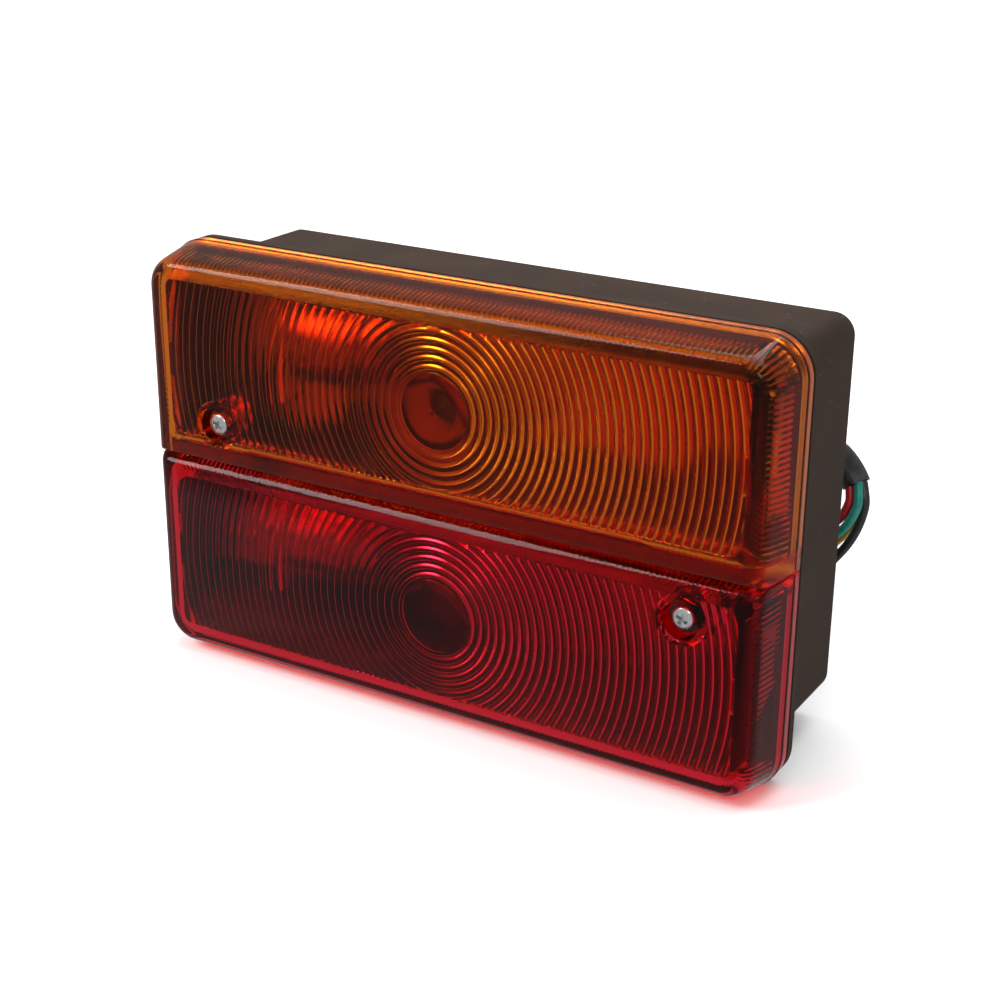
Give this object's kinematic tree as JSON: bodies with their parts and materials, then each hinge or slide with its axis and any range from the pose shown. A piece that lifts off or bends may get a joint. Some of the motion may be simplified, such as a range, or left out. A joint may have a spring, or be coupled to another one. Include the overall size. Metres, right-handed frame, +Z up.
{
  "type": "trailer tail light",
  "caption": "Rectangular trailer tail light: amber indicator lens above a red stop and tail lens on a black housing, with bayonet bulbs, stud mounting and a lead of loose wires",
  "frame": {"origin": "midway between the two mounting studs, on the plane where the stud pads meet the vehicle", "axes": "+X to the right for someone facing the lenses, +Y from the lenses to the vehicle (the way the studs point), +Z up; metres"},
  "size_m": [0.165, 0.1195, 0.104],
  "materials": {
    "black_plastic": "moulded ABS, satin",
    "zinc_steel": "bright zinc plated",
    "black_rubber": "matte",
    "amber_plastic": "transparent, polished",
    "red_plastic": "transparent, polished",
    "tinplate": "bright tin plate",
    "brass": "lightly tarnished",
    "brown_board": "fibre board",
    "spring_steel": "drawn wire",
    "black_glass": "opaque",
    "solder": "dull",
    "amber_glass": "transparent, tinted",
    "clear_glass": "transparent",
    "tungsten": "drawn wire",
    "black_insulation": "satin PVC",
    "green_insulation": "satin PVC",
    "yellow_insulation": "satin PVC",
    "red_insulation": "satin PVC",
    "copper": "bare copper strands"
  },
  "bodies": {
    "shell": {"housing": "black_plastic", "mounting_studs": "zinc_steel", "lens_gasket": "black_rubber", "amber_reflector": "tinplate", "red_reflector": "tinplate", "reflector_screws": "zinc_steel", "amber_socket": "brass", "red_socket": "brass", "amber_socket_spring": "spring_steel", "red_socket_spring": "spring_steel", "ground_terminals": "tinplate", "cable_grommet": "black_rubber", "cable_sleeve": "black_rubber", "ground_lead": "black_insulation", "ground_jumper": "black_insulation", "indicator_lead": "green_insulation", "tail_lead": "yellow_insulation", "stop_lead": "red_insulation", "black_wire": "black_insulation", "green_wire": "green_insulation", "yellow_wire": "yellow_insulation", "red_wire": "red_insulation", "stripped_ends": "copper"},
    "amber_lens_body": {"amber_lens": "amber_plastic"},
    "amber_washer_body": {"amber_screw_washer": "black_rubber"},
    "amber_screw_body": {"amber_lens_screw": "zinc_steel"},
    "amber_contacts_body": {"amber_contact_disc": "brown_board", "amber_contact": "brass"},
    "amber_bulb_body": {"amber_bulb_cap": "brass", "amber_bulb_insulator": "black_glass", "amber_bulb_tip": "solder", "amber_bulb_glass": "amber_glass", "amber_bulb_stem": "clear_glass", "amber_filament": "tungsten"},
    "red_lens_body": {"red_lens": "red_plastic"},
    "red_washer_body": {"red_screw_washer": "black_rubber"},
    "red_screw_body": {"red_lens_screw": "zinc_steel"},
    "red_contacts_body": {"red_contact_disc": "brown_board", "red_contacts": "brass"},
    "red_bulb_body": {"red_bulb_cap": "brass", "red_bulb_insulator": "black_glass", "red_bulb_tips": "solder", "red_bulb_glass": "clear_glass", "red_bulb_stem": "clear_glass", "stop_filament": "tungsten", "tail_filament": "tungsten"}
  },
  "joints": [
    {"name": "amber_lens_lift", "type": "slide", "parent": "shell", "child": "amber_lens_body", "axis": [0, -1, 0], "range_m": [0, 0.06]},
    {"name": "amber_screw_out", "type": "slide", "parent": "amber_lens_body", "child": "amber_washer_body", "axis": [0, -1, 0], "range_m": [0, 0.01431]},
    {"name": "amber_screw_turn", "type": "hinge", "parent": "amber_washer_body", "child": "amber_screw_body", "pos_m": [-0.062, -0.0485, 0.0102], "axis": [0, -1, 0], "range_deg": [0, 4684]},
    {"name": "amber_socket_push", "type": "slide", "parent": "shell", "child": "amber_contacts_body", "axis": [-1, 0, 0], "range_m": [0, 0.002], "stiffness_N_per_m": 800, "springref_m": -0.004, "deforming": ["amber_socket_spring", "indicator_lead"]},
    {"name": "amber_bulb_turn", "type": "hinge", "parent": "amber_contacts_body", "child": "amber_bulb_body", "pos_m": [-0.0345, -0.0245, 0.0248], "axis": [1, 0, 0], "range_deg": [0, 18]},
    {"name": "red_lens_lift", "type": "slide", "parent": "shell", "child": "red_lens_body", "axis": [0, -1, 0], "range_m": [0, 0.06]},
    {"name": "red_screw_out", "type": "slide", "parent": "red_lens_body", "child": "red_washer_body", "axis": [0, -1, 0], "range_m": [0, 0.01431]},
    {"name": "red_screw_turn", "type": "hinge", "parent": "red_washer_body", "child": "red_screw_body", "pos_m": [0.062, -0.0485, -0.0102], "axis": [0, -1, 0], "range_deg": [0, 4684]},
    {"name": "red_socket_push", "type": "slide", "parent": "shell", "child": "red_contacts_body", "axis": [-1, 0, 0], "range_m": [0, 0.002], "stiffness_N_per_m": 800, "springref_m": -0.004, "deforming": ["red_socket_spring", "stop_lead", "tail_lead"]},
    {"name": "red_bulb_turn", "type": "hinge", "parent": "red_contacts_body", "child": "red_bulb_body", "pos_m": [-0.0345, -0.0245, -0.0248], "axis": [1, 0, 0], "range_deg": [0, 18]}
  ],
  "couplings": [
    {"joint": "amber_screw_turn", "follows": "amber_screw_out", "rad_per_m": 5712},
    {"joint": "red_screw_turn", "follows": "red_screw_out", "rad_per_m": 5712}
  ]
}
